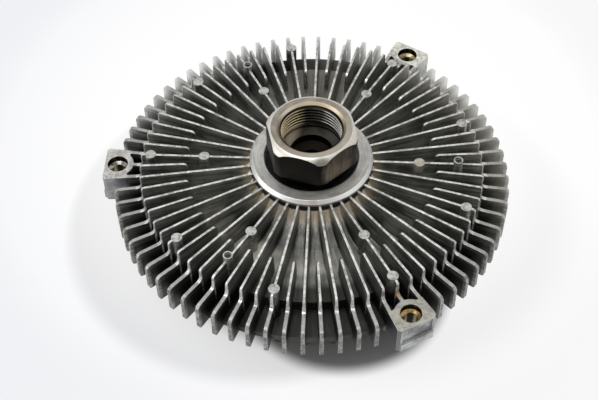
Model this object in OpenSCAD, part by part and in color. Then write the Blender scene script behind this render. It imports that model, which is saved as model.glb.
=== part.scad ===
// Viscous fan clutch, engine side up, in mm.
// Origin: centre of the fan bolt circle on the machined face of the ears. +Z runs along the axis to the engine.

/* [Fan ears] */
// Diameter of the fan bolt circle
fan_pcd = 150.9; // [120:0.1:190]
// Number of ears, each on a long fin
ear_count = 3; // [3:3:6]
// Angle of the first ear
ear_first = 60; // [0:10:110]
// Diameter of the pilot at the top of a fan bolt hole
fan_pilot_d = 7.9; // [6.5:0.1:9]
// Depth of that pilot
fan_pilot_depth = 2.8; // [1.5:0.1:5]
// Core diameter of the fan bolt thread
fan_core_d = 5.2; // [4:0.1:6]
// Outer face of an ear, measured outward from the bolt
ear_reach = 5.0; // [4.6:0.05:8]
// Inner end of the block of an ear, measured inward from the bolt
ear_back = 4.25; // [3:0.05:5]
// How far the block stands out past the two fins beside it
ear_over = 0.15; // [0.15:0.05:0.6]
// Width of the bevel on the outer corners of the block
ear_corner = 1.0; // [0.5:0.1:1.5]
// Wall around the pilot
ear_wall = 2.2; // [1.5:0.05:3]
// Depth of an ear below its machined face
ear_depth = 12.5; // [8:0.1:12.6]
// Height of the foot band on the outer face of an ear
ear_band_h = 4.2; // [2:0.1:6]
// How far the panel above the band is set back
ear_panel_in = 0.45; // [0.2:0.05:0.6]
// Width of the rim around that panel
ear_rim = 0.8; // [0.5:0.1:1.5]

/* [Housing fins] */
// How far the fins reach past the bolt circle
fin_past_bolt = 0.85; // [0.2:0.05:2]
// Number of long fins, with a short fin between each two
long_fins = 36; // [30:6:36]
// Top of the inner fins above the ear face
inner_fin_top = 6.1; // [5:0.1:7]
// Thickness of an inner fin at its top
inner_fin_t = 0.85; // [0.8:0.05:1.4]
// Draft on each side of a fin above the ear face in degrees
inner_draft = 2.4; // [1:0.1:3]
// Radial length of the low outer part of a fin
low_fin_l = 10.5; // [8:0.1:13]
// How far a fin stands out past the flange
fin_reach = 5.3; // [3:0.1:7]
// Radius of the upper corner of a fin at its step
fin_top_r = 1.2; // [0.4:0.1:1.5]
// Radius of the upper corner at the inner end of a short fin
short_fin_r = 1.8; // [0.5:0.1:2.5]
// Fillet at the foot of the step in a fin
step_fillet = 1.3; // [0.6:0.1:2]
// Draft on each side of a fin below the ear face in degrees
outer_draft = 0.5; // [0.3:0.1:0.6]
// Bottom of the outer fins below the ear face
fin_depth = 12.8; // [12.4:0.1:14]
// Radius of the upper outer corner of the fins
fin_corner_r = 2.2; // [1:0.1:3]
// Radius of the lower outer corner of the fins
fin_foot_r = 1.0; // [0.5:0.1:1.5]
// Diameter of the circle where the short fins start
short_fin_d = 95; // [80:0.5:105]

/* [Ejector pads] */
// Diameter of a pad
pad_d = 4.1; // [3:0.1:5]
// Rise of a pad above the fin tops
pad_rise = 0.2; // [0.1:0.05:0.6]
// Number of pads on the inner circle
inner_pads = 6; // [3:3:6]
// Diameter of the inner circle of pads
inner_pad_d = 82.6; // [75:0.2:90]
// Number of pads on the outer circle
outer_pads = 9; // [3:3:9]
// Distance of the outer circle of pads inside the step
outer_pad_in = 3.8; // [3:0.1:4.5]
// Number of hollow pads
hollow_pads = 3; // [3:3:6]
// Distance of the hollow pads inside the step of the floor
hollow_pad_in = 3.3; // [2.5:0.1:8]
// Outer diameter of a hollow pad
hollow_pad_od = 3.6; // [3:0.1:4.5]
// Wall of a hollow pad
hollow_pad_wall = 0.45; // [0.35:0.05:0.8]
// Rise of a hollow pad above the fin tops
hollow_pad_rise = 2.1; // [0.5:0.1:2.5]
// Depth of the recess in a hollow pad
hollow_pad_depth = 1.0; // [0.5:0.1:2.5]

/* [Housing shell] */
// Top of the ring above the ear face
ring_top = 8.7; // [8:0.1:10]
// Wall of the ring around the bearing
ring_wall = 3.6; // [3:0.1:4.5]
// Thickness of the lip of the ring over the bearing
ring_lip = 2.5; // [2:0.1:3]
// Width of the turned chamfer on the ring
ring_chamfer_w = 1.0; // [0.4:0.1:1.4]
// Height of that chamfer
ring_chamfer_h = 1.5; // [0.6:0.1:2]
// Diameter of the opening in the ring
ring_bore_d = 35.74; // [34:0.02:37]
// Foot of the ring above the ear face, where the hollow slope to the floor starts
hub_foot = 3.8; // [2:0.1:5]
// Radius of that hollow slope
hub_slope_r = 17; // [12:0.5:24]
// Inner floor between the fins, below the ear face
inner_floor = 4.2; // [3:0.1:5]
// Outer floor between the fins, below the ear face
outer_floor = 9.3; // [8.5:0.1:9.8]
// Wall between the chamber and the step in the floor
side_wall = 4.0; // [3:0.1:4.2]
// Width of the flange outside the rolled lip
flange_rim = 3.45; // [2:0.05:5]
// Joint face of the flange, below the ear face
flange_bottom = 12.2; // [11.6:0.1:12.4]
// Thickness of the housing over the chamber
roof_t = 3.5; // [3:0.1:4]

/* [Input shaft] */
// Width of the hexagon across its flats
hex_af = 32; // [30:0.5:36]
// Top of the hexagon above the ear face
hex_top = 24.3; // [22:0.05:28]
// Height of the hexagon
hex_h = 13.65; // [9:0.05:14]
// Angle of one corner of the hexagon
hex_turn = 44.8; // [0:0.1:60]
// Diameter of the flat on top of the hexagon
hex_face_d = 31.2; // [29:0.1:32]
// Radius of the ball-turned crown around that flat
hex_crown_r = 31.2; // [24:0.2:60]
// Wall of the neck under the hexagon, around the thread relief
neck_wall = 2.5; // [2:0.1:3.2]
// Nominal diameter of the internal thread
thread_d = 24; // [22:1:25]
// Length of the internal thread
thread_l = 10.8; // [8:0.1:12]
// Width of the chamfer at the mouth of the thread
mouth_chamfer = 0.35; // [0.2:0.05:0.8]
// Depth of the relief under the thread, measured inward
relief_in = 0.5; // [0.3:0.1:1]
// Length of the relief
relief_l = 1.4; // [0.8:0.1:1.5]
// Diameter of the pilot bore under the thread
pilot_d = 16.4; // [14:0.1:18]
// Depth of the pilot bore under its cone
pilot_l = 3.2; // [2:0.1:3.4]
// Diameter of the drilled hole under the pilot bore
drill_d = 8; // [5:0.1:9]
// Depth of that hole
drill_l = 9; // [4:0.5:14]

/* [Bearing] */
// Outer diameter of the bearing
bearing_od = 40; // [38:0.5:42]
// Bore of the bearing
bearing_id = 17; // [15:0.5:18]
// Width of the bearing
bearing_w = 12; // [10:0.5:12]
// Diameter of a ball
ball_d = 6.74; // [6:0.02:7]
// Number of balls
ball_count = 8; // [6:1:8]
// Gap between a ball and its races
race_gap = 0.08; // [0.03:0.01:0.1]
// Thickness of a shield
shield_t = 0.4; // [0.3:0.05:0.6]
// Thickness of the circlip
circlip_t = 1.2; // [1:0.1:1.5]
// How deep the circlip sits in its groove
circlip_bite = 0.9; // [0.6:0.1:1.2]

/* [Rotor] */
// Gap all around the rotor
rotor_gap = 0.8; // [0.5:0.1:1.2]
// Number of ring-shaped lands
land_count = 5; // [3:1:5]
// Radial pitch of the lands
land_pitch = 4.0; // [3.6:0.1:4.4]
// Thickness of a land
land_t = 1.3; // [1:0.1:1.5]
// Height of a land
land_h = 3.0; // [2:0.1:3.2]
// Gap at the tip of a land
land_gap = 0.7; // [0.4:0.1:1]
// Thickness of the rotor web
web_t = 3.0; // [2.5:0.1:3.5]
// Diameter of the rotor hub
rotor_hub_d = 28; // [26:0.5:32]
// Diameter of the rotor seat on the shaft
rotor_seat_d = 16; // [14:0.1:16.5]
// Number of fluid holes through the web
web_holes = 4; // [3:1:6]
// Diameter of a fluid hole
web_hole_d = 6; // [4:0.5:8]

/* [Front cover] */
// Thickness of the cover flange
cover_flange_t = 4.0; // [3.5:0.1:4.5]
// Width of the cover flange outside the chamber
cover_land = 10.5; // [9:0.1:13]
// Thickness of the rolled lip of the housing
lip_t = 1.6; // [1.2:0.1:2]
// How far the rolled lip reaches over the cover flange
lip_hook = 1.6; // [1:0.1:2]
// Thickness of the cover in front of the reservoir
cover_wall = 2.5; // [2:0.1:3]
// Height of the front fins
front_fin_h = 5.7; // [5.4:0.1:8]
// Number of front fins
front_fins = 36; // [24:6:48]
// Thickness of a front fin at its tip
front_fin_t = 1.8; // [1.4:0.1:2.4]
// Draft on each side of a front fin in degrees
front_draft = 2; // [1:0.5:3]
// Clear space between the strip holders and the front fins
front_clear = 2.4; // [1:0.1:5]
// Section diameter of the cover seal
cover_seal_d = 1.9; // [1.6:0.1:2.2]

/* [Divider plate] */
// Gap between the rotor and the divider plate
plate_gap = 1.6; // [1.4:0.1:2.5]
// Thickness of the divider plate
plate_t = 1.0; // [0.8:0.1:1.2]
// Distance of the edge of the plate inside the chamber
plate_step = 4.3; // [3:0.1:6]
// Width of the land that the plate lies on
plate_land = 5.0; // [4.4:0.1:7]
// Depth of the reservoir
reservoir_h = 4.8; // [4.6:0.1:6]
// Number of plate screws
screw_count = 4; // [3:1:6]
// Shank diameter of a plate screw
screw_d = 2.4; // [2:0.1:2.5]
// Length of a plate screw below its head
screw_l = 4.5; // [3:0.1:5]

/* [Valve] */
// Travel of the control pin
pin_travel = 1.2; // [0.6:0.05:1.2]
// Diameter of the control pin
pin_d = 4; // [3:0.1:4.5]
// Running gap around the control pin
pin_gap = 0.04; // [0.02:0.01:0.1]
// Distance from the lever pivot to the axis
lever_arm = 20; // [16:0.5:22]
// Distance from the axis to the port under the lever
port_r = 20; // [14:0.5:22]
// Diameter of that port
port_d = 6; // [4:0.5:7]
// Width of the lever
lever_w = 6; // [5:0.1:7]
// Thickness of the lever
lever_t = 0.9; // [0.7:0.05:1]
// Diameter of the pivot pin
pivot_d = 2; // [1.6:0.1:2.2]

/* [Bimetal strip] */
// Length of the strip
strip_l = 34; // [30:0.5:36]
// Width of the strip
strip_w = 11; // [8:0.5:13]
// Thickness of the strip
strip_t = 0.9; // [0.7:0.05:1]
// How far the control pin stands out of the cover face
pin_out = 3.15; // [3:0.05:3.4]
// Thickness of the holders
holder_t = 0.8; // [0.6:0.05:0.9]
// Shank diameter of a holder rivet
rivet_d = 3; // [2.4:0.1:3.2]

/* [Hidden] */
$fn = 96;

// Gap between pieces that are fitted to each other and don't move
fit = 0.03;
// Overlap that roots one shape of a casting in the next
root = 0.8;

// Radii of the housing, from the bolt circle inward to the rotor
fan_r = fan_pcd / 2;
fin_r = fan_r + fin_past_bolt;
step_r = fin_r - low_fin_l;
flange_r = fin_r - fin_reach;
lip_out_r = flange_r - flange_rim;
lip_in_r = lip_out_r - lip_t;
lip_gap = 0.15;
cover_r = lip_in_r - lip_gap;
chamber_r = cover_r - cover_land;
floor_step_r = chamber_r + side_wall;
rotor_r = chamber_r - rotor_gap;
plate_r = chamber_r - plate_step;
reservoir_r = plate_r - plate_land;
ear_face_r = fan_r + ear_reach;
ear_in_r = fan_r - ear_back;
ear_boss_r = fan_pilot_d / 2 + ear_wall;
bearing_r = bearing_od / 2;
ring_r = bearing_r + ring_wall;
inner_pad_r = inner_pad_d / 2;
outer_pad_r = step_r - outer_pad_in;
hollow_pad_r = floor_step_r - hollow_pad_in;
fin_pitch = 360 / long_fins;
hub_drop = hub_foot + inner_floor;
hub_run = sqrt(pow(hub_slope_r, 2) - pow(hub_slope_r - hub_drop, 2));

// Thickness of a fin at the ear face, and half the width of an ear at a radius
low_fin_t = inner_fin_t + 2 * inner_fin_top * tan(inner_draft);
function ear_half(r) = r * tan(fin_pitch / 2) + (low_fin_t / 2 + ear_over) / cos(fin_pitch / 2);

// Heights of the bearing and shaft
bearing_top = ring_top - ring_lip;
bearing_bottom = bearing_top - bearing_w;
bearing_mid = bearing_top - bearing_w / 2;
groove_bottom = bearing_bottom - circlip_t - 0.15;
boss_bottom = groove_bottom - 1.4;
hex_bottom = hex_top - hex_h;
shoulder_h = 0.8;
thread_bottom = hex_top - thread_l;
relief_bottom = thread_bottom - relief_l;
relief_r = thread_d / 2 - relief_in;
neck_r = relief_r + neck_wall;
cone_bottom = relief_bottom - (relief_r - pilot_d / 2) * 0.3;
pilot_bottom = cone_bottom - pilot_l;
drill_bottom = pilot_bottom - drill_l;

// Heights of the chamber, from the roof down to the fin tips
roof = -inner_floor - roof_t;
land_top = roof - land_gap;
web_top = land_top - land_h;
rib_tip = web_top + land_gap;
web_bottom = web_top - web_t;
shaft_end = web_bottom - 0.8;
plate_top = web_bottom - plate_gap;
plate_bottom = plate_top - plate_t;
reservoir_bottom = plate_bottom - reservoir_h;
cover_face = reservoir_bottom - cover_wall;
front_tip = cover_face - front_fin_h;
joint_z = -flange_bottom;
cover_top = joint_z - fit;
cover_flange_bottom = cover_top - cover_flange_t;
last_land_r = rotor_r - land_t / 2;

// Radii of the cover
hook_r = cover_r - lip_hook;
cover_body_r = hook_r - 0.6;
cover_face_r = cover_body_r - 7.6;
seal_circle_r = (chamber_r + cover_r) / 2;

// The bearing's own sizes
pitch_r = (bearing_od + bearing_id) / 4;
race_r = ball_d / 2 + race_gap;
shoulder_gap = 2.5;
inner_ring_r = pitch_r - shoulder_gap;
outer_ring_in_r = pitch_r + shoulder_gap;
shield_r = outer_ring_in_r + 0.95;
shield_in = 0.3;

// Heights of the valve
lever_top = plate_bottom - 0.1;
lever_bottom = lever_top - lever_t;
eye_wall = 1.0;
eye_r = pivot_d / 2 + 0.04 + eye_wall;
pivot_z = lever_top - eye_r;
pin_tip = lever_bottom - 0.05;
collar_top = pin_tip - 0.9;
collar_bottom = collar_top - 0.8;
pin_boss_top = collar_bottom - pin_travel - 0.15;
pin_end = cover_face - pin_out;
pin_boss_end = cover_face - 1.4;
seal_d = 1.4;
seal_in_r = pin_d / 2 + 0.03;
seal_z = cover_face + cover_wall / 2 - 0.2;
lug_in = lever_w / 2 + 0.4;
lug_t = 1.0;
lug_bottom = pivot_z - eye_r;
screw_circle_r = (plate_r + reservoir_r) / 2;
screw_head_h = 0.9;

// Heights of the strip and its holders
strip_top = pin_end - 0.05;
strip_bottom = strip_top - strip_t;
hook_top = strip_bottom - 0.05;
leg_x = strip_l / 2 + 0.3;
foot_l = 6.4;
rivet_x = leg_x + holder_t + 2.9;
rivet_hole_l = cover_wall - 0.8;
holder_w = strip_w + 2;
front_clear_r = norm([leg_x + foot_l, holder_w / 2]) + front_clear;

// A tube: outer radius, inner radius, bottom and top
module tube(ro, ri, z0, z1) {
  rotate_extrude()
    translate([ri, z0])
      square([ro - ri, z1 - z0]);
}

// A flat-sided rib along X whose sides lean by the draft: ends, top and its thickness, bottom
module drafted_rib(x0, x1, z_top, t_top, z_bot, draft) {
  t_bot = t_top + 2 * abs(z_top - z_bot) * tan(draft);
  translate([x0, 0, 0])
    rotate([90, 0, 90])
      linear_extrude(height = x1 - x0)
        polygon([[-t_bot / 2, z_bot], [t_bot / 2, z_bot], [t_top / 2, z_top], [-t_top / 2, z_top]]);
}

// The shell of the housing: ring, stepped floor, flange and rolled lip
module housing_shell() {
  rotate_extrude()
    polygon([
      [ring_bore_d / 2, bearing_top],
      [ring_bore_d / 2, ring_top - 0.4],
      [ring_bore_d / 2 + 0.4, ring_top],
      [ring_r - ring_chamfer_w, ring_top],
      [ring_r, ring_top - ring_chamfer_h],
      [ring_r, -inner_floor],
      [floor_step_r, -inner_floor],
      [floor_step_r, -outer_floor],
      [flange_r, -outer_floor],
      [flange_r, joint_z],
      [lip_out_r, joint_z],
      [lip_out_r, cover_flange_bottom - 0.9],
      [lip_out_r - 0.5, cover_flange_bottom - 1.3],
      [hook_r, cover_flange_bottom - 1.3],
      [hook_r, cover_flange_bottom - 0.1],
      [lip_in_r, cover_flange_bottom - 0.1],
      [lip_in_r, joint_z],
      [chamber_r, joint_z],
      [chamber_r, roof],
      [ring_r + 1, roof],
      [ring_r + 1, boss_bottom],
      [bearing_r + fit, boss_bottom],
      [bearing_r + fit, groove_bottom],
      [bearing_r + circlip_bite + 0.1, groove_bottom],
      [bearing_r + circlip_bite + 0.1, bearing_bottom - fit],
      [bearing_r + fit, bearing_bottom - fit],
      [bearing_r + fit, bearing_top]
    ]);
  // Hollow slope from the ring to the floor, which meets the floor at a slight angle
  rotate_extrude()
    difference() {
      translate([ring_r - 1, -inner_floor - 0.5])
        square([hub_run + 0.9, hub_drop + 0.5]);
      translate([ring_r + hub_run, hub_slope_r - inner_floor - 0.05])
        circle(r = hub_slope_r);
    }
  // Ribs that stand between the lands of the rotor
  for (i = [0 : land_count - 2])
    tube(
      last_land_r - (i + 0.5) * land_pitch + land_t / 2,
      last_land_r - (i + 0.5) * land_pitch - land_t / 2,
      rib_tip, roof + root
    );
}

// What is outside a rounded corner of a profile: the corner, its radius and the way that it points
module corner_waste(x, y, r, dx, dy) {
  difference() {
    translate([x - (dx > 0 ? r : 1), y - (dy > 0 ? r : 1)])
      square(r + 1);
    translate([x - dx * r, y - dy * r])
      circle(r = r);
  }
}

// Side view of a fin: high inner part, step with its fillet, low outer part with rounded corners
module fin_profile(r0) {
  difference() {
    polygon([
      [r0, -inner_floor - root],
      [floor_step_r - root, -inner_floor - root],
      [floor_step_r - root, -outer_floor - root],
      [flange_r - root, -outer_floor - root],
      [flange_r - root, -fin_depth],
      [fin_r, -fin_depth],
      [fin_r, 0],
      [step_r + step_fillet, 0],
      [step_r + step_fillet, step_fillet],
      [step_r, step_fillet],
      [step_r, inner_fin_top],
      [r0, inner_fin_top]
    ]);
    translate([step_r + step_fillet + 0.05, step_fillet + 0.05])
      circle(r = step_fillet);
    corner_waste(step_r, inner_fin_top, fin_top_r, 1, 1);
    if (r0 > ring_r)
      corner_waste(r0, inner_fin_top, short_fin_r, -1, 1);
    corner_waste(fin_r, 0, fin_corner_r, 1, 1);
    corner_waste(fin_r, -fin_depth, fin_foot_r, 1, -1);
  }
}

// One fin along X, whose sides lean more above the ear face than below it
module fin(r0) {
  foot_t = low_fin_t + 2 * (fin_depth + 1) * tan(outer_draft);
  top_t = inner_fin_t - 2 * tan(inner_draft);
  intersection() {
    translate([r0 - 1, 0, 0])
      rotate([90, 0, 90])
        linear_extrude(height = fin_r - r0 + 2)
          polygon([
            [-foot_t / 2, -fin_depth - 1],
            [foot_t / 2, -fin_depth - 1],
            [low_fin_t / 2, 0],
            [top_t / 2, inner_fin_top + 1],
            [-top_t / 2, inner_fin_top + 1],
            [-low_fin_t / 2, 0]
          ]);
    rotate([90, 0, 0])
      linear_extrude(height = 10, center = true)
        fin_profile(r0);
  }
}

// One ear: a block between two fins with a boss around the bolt, and a panel and foot band on its outer face
module ear() {
  corner_r = ear_face_r - ear_corner;
  flat_half = ear_half(corner_r) - ear_corner;
  panel_half = flat_half - ear_rim;
  difference() {
    translate([0, 0, -ear_depth])
      linear_extrude(height = ear_depth)
        intersection() {
          union() {
            translate([fan_r, 0])
              circle(r = ear_boss_r);
            polygon([
              [ear_in_r, -ear_half(ear_in_r)],
              [corner_r, -ear_half(corner_r)],
              [ear_face_r, -flat_half],
              [ear_face_r, flat_half],
              [corner_r, ear_half(corner_r)],
              [ear_in_r, ear_half(ear_in_r)]
            ]);
          }
          translate([0, -fan_r / 2])
            square([ear_face_r, fan_r]);
        }
    translate([ear_face_r - ear_panel_in, -panel_half, -ear_depth + ear_band_h])
      cube([ear_panel_in + 1, 2 * panel_half, ear_depth - ear_band_h - ear_rim]);
  }
  translate([ear_face_r - 1, 0.1 - flat_half, -ear_depth])
    cube([1 + ear_panel_in, 2 * flat_half - 0.2, ear_band_h - 0.3]);
}

// Pilot, cone and thread core of one fan bolt hole
module fan_hole() {
  translate([fan_r, 0, 0])
    rotate_extrude()
      polygon([
        [0, 1],
        [fan_pilot_d / 2, 1],
        [fan_pilot_d / 2, -fan_pilot_depth],
        [fan_core_d / 2, -fan_pilot_depth - 0.8],
        [fan_core_d / 2, -fin_depth - 2],
        [0, -fin_depth - 2]
      ]);
}

module rear_housing() {
  color([0.72, 0.71, 0.69])
    difference() {
      union() {
        housing_shell();
        for (i = [0 : long_fins - 1])
          rotate(i * fin_pitch) {
            fin(ring_r - root);
            rotate(fin_pitch / 2)
              fin(short_fin_d / 2);
          }
        for (i = [0 : inner_pads - 1])
          rotate(i * 360 / inner_pads)
            translate([inner_pad_r, 0, -inner_floor - root])
              cylinder(d = pad_d, h = inner_floor + root + inner_fin_top + pad_rise);
        for (i = [0 : outer_pads - 1])
          rotate(2 * fin_pitch + i * 360 / outer_pads)
            translate([outer_pad_r, 0, -outer_floor - root])
              cylinder(d = pad_d, h = outer_floor + root + inner_fin_top + pad_rise);
        for (i = [0 : hollow_pads - 1])
          rotate(i * 360 / hollow_pads)
            translate([hollow_pad_r, 0, -inner_floor - root])
              cylinder(d = hollow_pad_od, h = inner_floor + root + inner_fin_top + hollow_pad_rise);
        for (i = [0 : ear_count - 1])
          rotate(ear_first + i * 360 / ear_count)
            ear();
      }
      for (i = [0 : ear_count - 1])
        rotate(ear_first + i * 360 / ear_count)
          fan_hole();
      for (i = [0 : hollow_pads - 1])
        rotate(i * 360 / hollow_pads)
          translate([hollow_pad_r, 0, inner_fin_top + hollow_pad_rise - hollow_pad_depth])
            cylinder(d = hollow_pad_od - 2 * hollow_pad_wall, h = hollow_pad_depth + 1);
    }
}

module input_shaft() {
  crown_drop = sqrt(pow(hex_crown_r, 2) - pow(hex_face_d / 2, 2));
  color([0.42, 0.38, 0.35])
    difference() {
      union() {
        intersection() {
          translate([0, 0, hex_bottom])
            rotate(hex_turn)
              cylinder(r = hex_af / sqrt(3), h = hex_h, $fn = 6);
          translate([0, 0, hex_top - crown_drop])
            sphere(r = hex_crown_r, $fn = 240);
        }
        // Neck, shoulder, bearing seat, rotor seat and rolled end
        rotate_extrude()
          polygon([
            [0, hex_bottom + 0.5],
            [neck_r, hex_bottom + 0.5],
            [neck_r, bearing_top + shoulder_h + 0.6],
            [neck_r - 0.6, bearing_top + shoulder_h],
            [inner_ring_r - 0.4, bearing_top + shoulder_h],
            [inner_ring_r - 0.4, bearing_top + fit],
            [bearing_id / 2 - fit, bearing_top + fit],
            [bearing_id / 2 - fit, bearing_bottom],
            [rotor_seat_d / 2 - fit, bearing_bottom],
            [rotor_seat_d / 2 - fit, web_bottom - fit],
            [rotor_seat_d / 2 + 1.4, web_bottom - fit],
            [rotor_seat_d / 2 + 0.8, shaft_end],
            [0, shaft_end]
          ]);
      }
      rotate_extrude()
        polygon([
          [0, hex_top + 1],
          [thread_d / 2 + mouth_chamfer + 1, hex_top + 1],
          [thread_d / 2, hex_top - mouth_chamfer],
          [thread_d / 2, thread_bottom],
          [relief_r, thread_bottom - relief_in],
          [relief_r, relief_bottom],
          [pilot_d / 2, cone_bottom],
          [pilot_d / 2, pilot_bottom],
          [drill_d / 2, pilot_bottom - 0.6],
          [drill_d / 2, drill_bottom],
          [0, drill_bottom - drill_d * 0.3]
        ]);
    }
}

module bearing_outer_ring() {
  color([0.6, 0.6, 0.62])
    rotate_extrude()
      difference() {
        polygon([
          [outer_ring_in_r, bearing_bottom + shield_in + shield_t + 0.1],
          [shield_r + fit, bearing_bottom + shield_in + shield_t + 0.1],
          [shield_r + fit, bearing_bottom],
          [bearing_r - 0.4, bearing_bottom],
          [bearing_r, bearing_bottom + 0.4],
          [bearing_r, bearing_top - 0.4],
          [bearing_r - 0.4, bearing_top],
          [shield_r + fit, bearing_top],
          [shield_r + fit, bearing_top - shield_in - shield_t - 0.1],
          [outer_ring_in_r, bearing_top - shield_in - shield_t - 0.1]
        ]);
        translate([pitch_r, bearing_mid])
          circle(r = race_r);
      }
}

module bearing_inner_ring() {
  color([0.6, 0.6, 0.62])
    rotate_extrude()
      difference() {
        polygon([
          [bearing_id / 2, bearing_bottom + 0.3],
          [bearing_id / 2 + 0.3, bearing_bottom],
          [inner_ring_r, bearing_bottom],
          [inner_ring_r, bearing_top],
          [bearing_id / 2 + 0.3, bearing_top],
          [bearing_id / 2, bearing_top - 0.3]
        ]);
        translate([pitch_r, bearing_mid])
          circle(r = race_r);
      }
}

module bearing_balls() {
  color([0.75, 0.75, 0.77])
    for (i = [0 : ball_count - 1])
      rotate(i * 360 / ball_count)
        translate([pitch_r, 0, bearing_mid])
          sphere(d = ball_d);
}

module bearing_cage() {
  pocket_r = ball_d / 2 + 0.15;
  cage_h = pocket_r + 0.8;
  color([0.55, 0.5, 0.4])
    difference() {
      tube(pitch_r + 1.15, pitch_r - 1.15, bearing_mid - cage_h, bearing_mid + cage_h);
      for (i = [0 : ball_count - 1])
        rotate(i * 360 / ball_count)
          translate([pitch_r, 0, bearing_mid])
            rotate([0, 90, 0])
              cylinder(r = pocket_r, h = 6, center = true);
    }
}

module bearing_shields() {
  color([0.3, 0.3, 0.3]) {
    tube(shield_r, inner_ring_r + 0.25, bearing_top - shield_in - shield_t, bearing_top - shield_in);
    tube(shield_r, inner_ring_r + 0.25, bearing_bottom + shield_in, bearing_bottom + shield_in + shield_t);
  }
}

module bearing_circlip() {
  lug_r = bearing_r - 2.4;
  lug_turn = 15;
  color([0.35, 0.35, 0.37])
    translate([0, 0, bearing_bottom - circlip_t - 0.1])
      linear_extrude(height = circlip_t)
        difference() {
          union() {
            difference() {
              circle(r = bearing_r + circlip_bite);
              circle(r = bearing_r - 2.2);
              polygon([[0, 0], [2 * bearing_r, -5.6], [2 * bearing_r, 5.6]]);
            }
            for (side = [-1, 1])
              rotate(side * lug_turn)
                translate([lug_r, 0])
                  circle(r = 1.8);
          }
          for (side = [-1, 1])
            rotate(side * lug_turn)
              translate([lug_r, 0])
                circle(r = 0.9);
        }
}

module rotor_disc() {
  color([0.66, 0.66, 0.66])
    difference() {
      union() {
        tube(rotor_r, rotor_seat_d / 2, web_bottom, web_top);
        tube(rotor_hub_d / 2, rotor_seat_d / 2, web_bottom, boss_bottom);
        tube(inner_ring_r - 0.5, rotor_seat_d / 2, web_bottom, bearing_bottom - fit);
        for (i = [0 : land_count - 1])
          tube(
            last_land_r - i * land_pitch + land_t / 2,
            last_land_r - i * land_pitch - land_t / 2,
            web_top - root, land_top
          );
      }
      for (i = [0 : web_holes - 1])
        rotate(i * 360 / web_holes)
          translate([rotor_hub_d / 2 + 1 + web_hole_d / 2, 0, web_bottom - 1])
            cylinder(d = web_hole_d, h = web_t + 2);
    }
}

module front_cover() {
  groove_w = cover_seal_d + 0.5;
  color([0.7, 0.69, 0.67])
    difference() {
      union() {
        rotate_extrude()
          polygon([
            [chamber_r, cover_top],
            [cover_r, cover_top],
            [cover_r, cover_flange_bottom],
            [cover_body_r, cover_flange_bottom],
            [cover_body_r, cover_flange_bottom - 1.7],
            [cover_face_r, cover_face],
            [0, cover_face],
            [0, reservoir_bottom],
            [reservoir_r, reservoir_bottom],
            [reservoir_r, plate_bottom - fit],
            [plate_r + 0.2, plate_bottom - fit],
            [plate_r + 0.2, plate_top],
            [chamber_r, plate_top]
          ]);
        // Guide of the control pin
        translate([0, 0, pin_boss_end])
          cylinder(r = pin_d / 2 + 4, h = pin_boss_top - pin_boss_end);
        // Front fins, which follow the cone of the cover
        for (i = [0 : front_fins - 1])
          rotate(i * 360 / front_fins)
            intersection() {
              drafted_rib(
                front_clear_r, cover_body_r, front_tip, front_fin_t,
                cover_flange_bottom - 1.7, front_draft
              );
              rotate([90, 0, 0])
                linear_extrude(height = 20, center = true)
                  polygon([
                    [front_clear_r - 1, cover_face + root],
                    [front_clear_r - 1, front_tip - 1],
                    [cover_body_r - 3, front_tip - 1],
                    [cover_body_r - 0.8, cover_flange_bottom - 2],
                    [cover_face_r, cover_face + root]
                  ]);
            }
      }
      // Groove of the cover seal
      tube(
        seal_circle_r + groove_w / 2, seal_circle_r - groove_w / 2,
        cover_top - cover_seal_d - 0.05, cover_top + 1
      );
      // Bore of the control pin and the groove of its seal
      translate([0, 0, pin_boss_end - 1])
        cylinder(r = pin_d / 2 + pin_gap, h = pin_boss_top - pin_boss_end + 2);
      translate([0, 0, seal_z - seal_d / 2 - 0.1])
        cylinder(r = seal_in_r + seal_d + 0.05, h = seal_d + 0.2);
      // Holes of the plate screws
      for (i = [0 : screw_count - 1])
        rotate(45 + i * 360 / screw_count)
          translate([screw_circle_r, 0, plate_bottom - screw_l])
            cylinder(d = screw_d + 2 * fit, h = screw_l + 1);
      // Holes of the holder rivets
      for (side = [-1, 1])
        translate([side * rivet_x, 0, cover_face - 1])
          cylinder(d = rivet_d + 2 * fit, h = rivet_hole_l + 1 + 0.1);
    }
}

module cover_seal() {
  color([0.08, 0.08, 0.08])
    rotate_extrude()
      translate([seal_circle_r, cover_top - cover_seal_d / 2 - 0.01])
        circle(d = cover_seal_d);
}

module divider_plate() {
  color([0.62, 0.6, 0.52])
    difference() {
      union() {
        translate([0, 0, plate_bottom])
          cylinder(r = plate_r, h = plate_t);
        // Lugs that carry the pivot pin
        for (side = [-1, 1])
          translate([-lever_arm - 2.2, side * (lug_in + lug_t / 2) - lug_t / 2, lug_bottom])
            cube([4.4, lug_t, plate_bottom - lug_bottom + plate_t / 2]);
      }
      // Port that the lever covers
      translate([port_r, 0, plate_bottom - 1])
        cylinder(d = port_d, h = plate_t + 2);
      // Return hole near the rim
      rotate(200)
        translate([reservoir_r - 3, 0, plate_bottom - 1])
          cylinder(d = 3, h = plate_t + 2);
      // Pivot pin
      translate([-lever_arm, 0, pivot_z])
        rotate([90, 0, 0])
          cylinder(d = pivot_d + 2 * fit, h = 40, center = true);
      for (i = [0 : screw_count - 1])
        rotate(45 + i * 360 / screw_count)
          translate([screw_circle_r, 0, plate_bottom - 1])
            cylinder(d = screw_d + 0.2, h = plate_t + 2);
    }
}

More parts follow.
